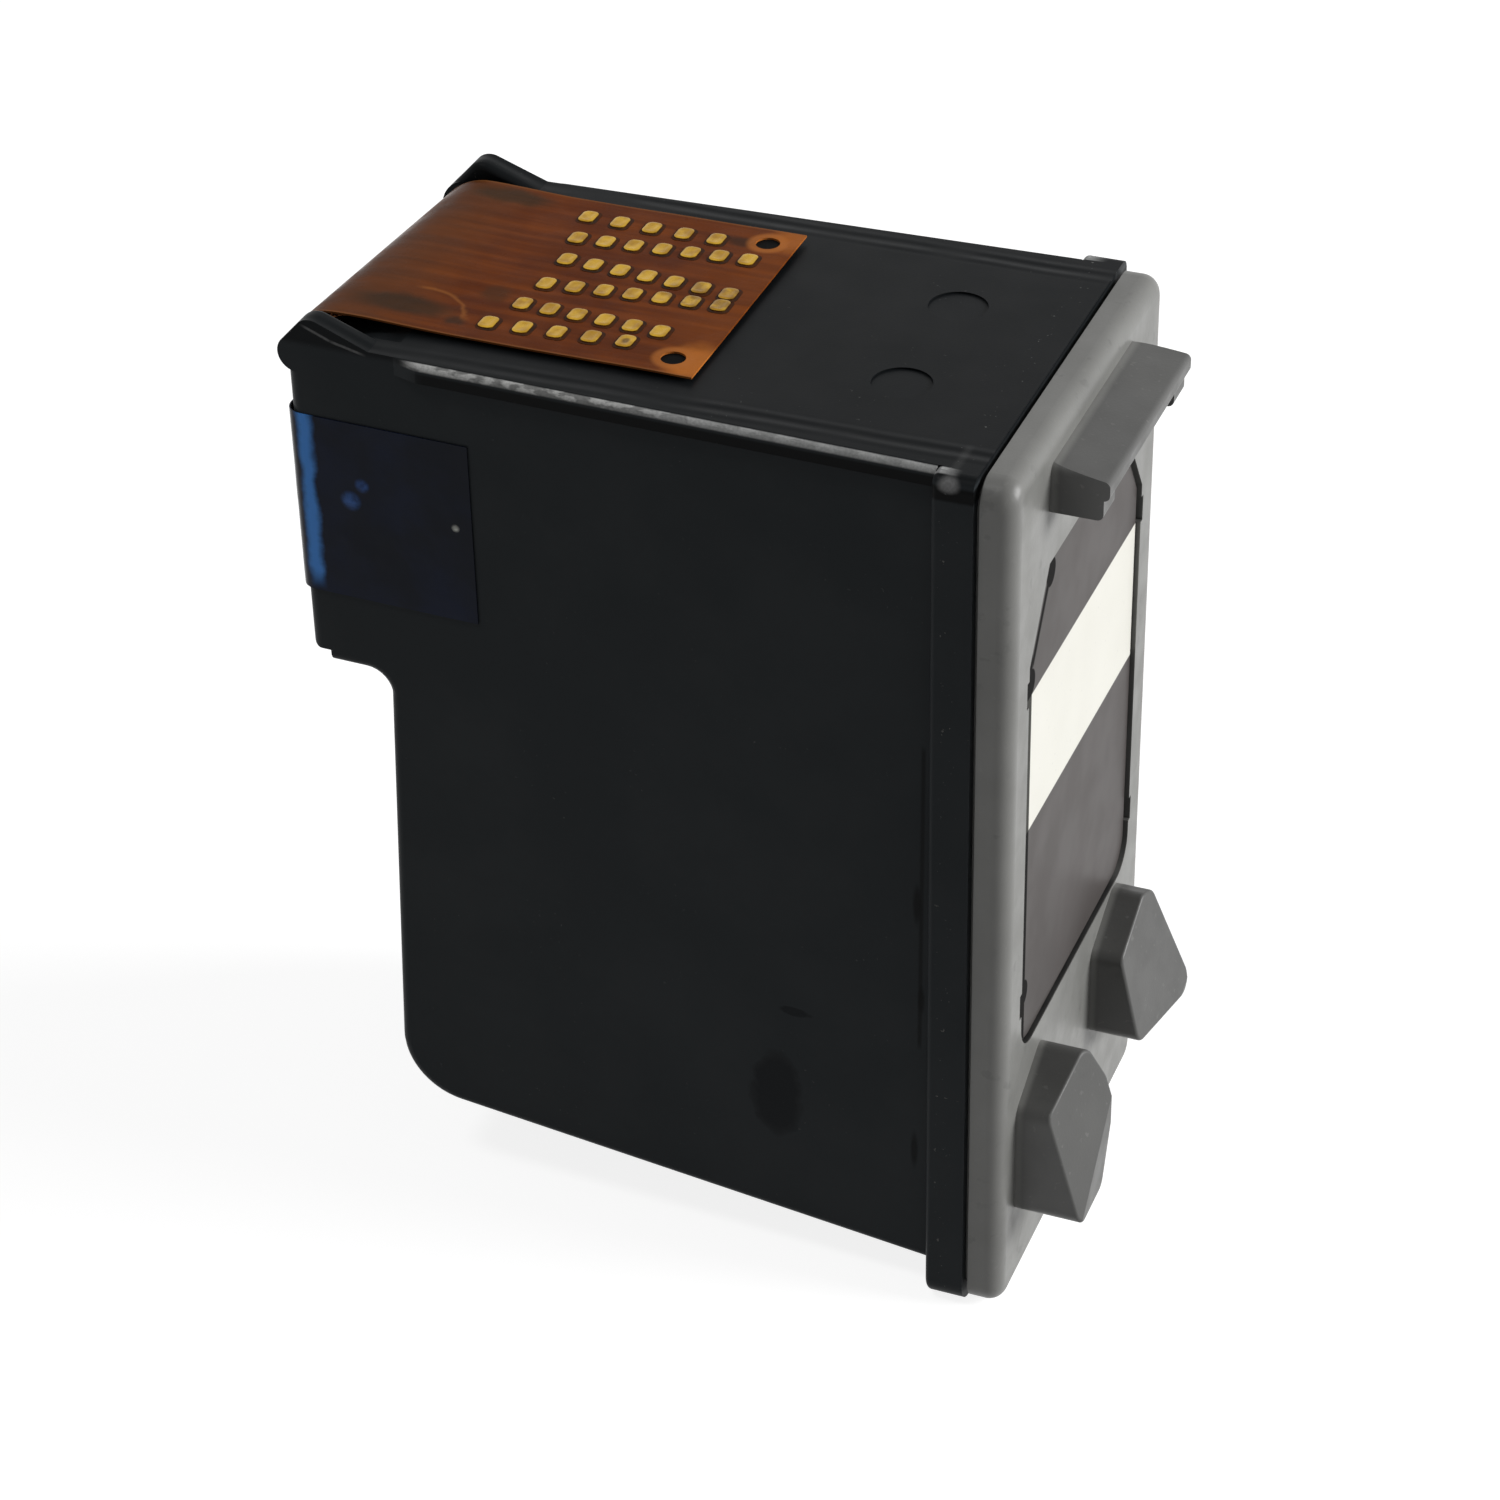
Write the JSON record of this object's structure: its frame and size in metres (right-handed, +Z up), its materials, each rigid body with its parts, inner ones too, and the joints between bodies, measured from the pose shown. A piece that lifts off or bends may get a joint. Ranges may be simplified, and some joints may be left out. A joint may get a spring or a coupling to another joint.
{
  "type": "inkjet ink cartridge",
  "caption": "Inkjet cartridge with its own printhead: moulded body with a snout, welded end lid with latch ledge and grip tabs, bent contact circuit and nozzle tape.",
  "frame": {"origin": "under the middle of the part, on the surface it stands on", "axes": "+X from the nozzle end to the lid, Y across the narrow side, +Z up to the contact face"},
  "size_m": [0.0508, 0.0286, 0.0615],
  "materials": {
    "body_plastic": "black moulded plastic, satin",
    "lid_plastic": "grey moulded plastic, satin matt",
    "label_film": "printed label, semi-gloss",
    "foam": "open-cell foam soaked in black ink",
    "filter_mesh": "fine woven steel screen",
    "silicon": "polished silicon chip",
    "sealant": "cured black sealant",
    "plate_metal": "thin plated nozzle plate",
    "polyimide": "brown-orange polyimide film, glossy",
    "copper": "etched copper",
    "gilt": "gold plating, soft shine",
    "blue_tape": "dark blue glossy film"
  },
  "bodies": {
    "root": {"body_housing": "body_plastic", "lid": "lid_plastic", "lid_label": "label_film", "foam_block": "foam", "filter_screen": "filter_mesh", "printhead_die": "silicon", "die_adhesive": "sealant", "nozzle_plate": "plate_metal", "bond_bead_upper": "sealant", "bond_bead_lower": "sealant", "flex_film": "polyimide", "copper_traces": "copper", "contact_row_1": "gilt", "contact_row_2": "gilt", "contact_row_3": "gilt", "contact_row_4": "gilt", "contact_row_5": "gilt", "contact_row_6": "gilt", "nozzle_tape": "blue_tape"}
  },
  "joints": []
}
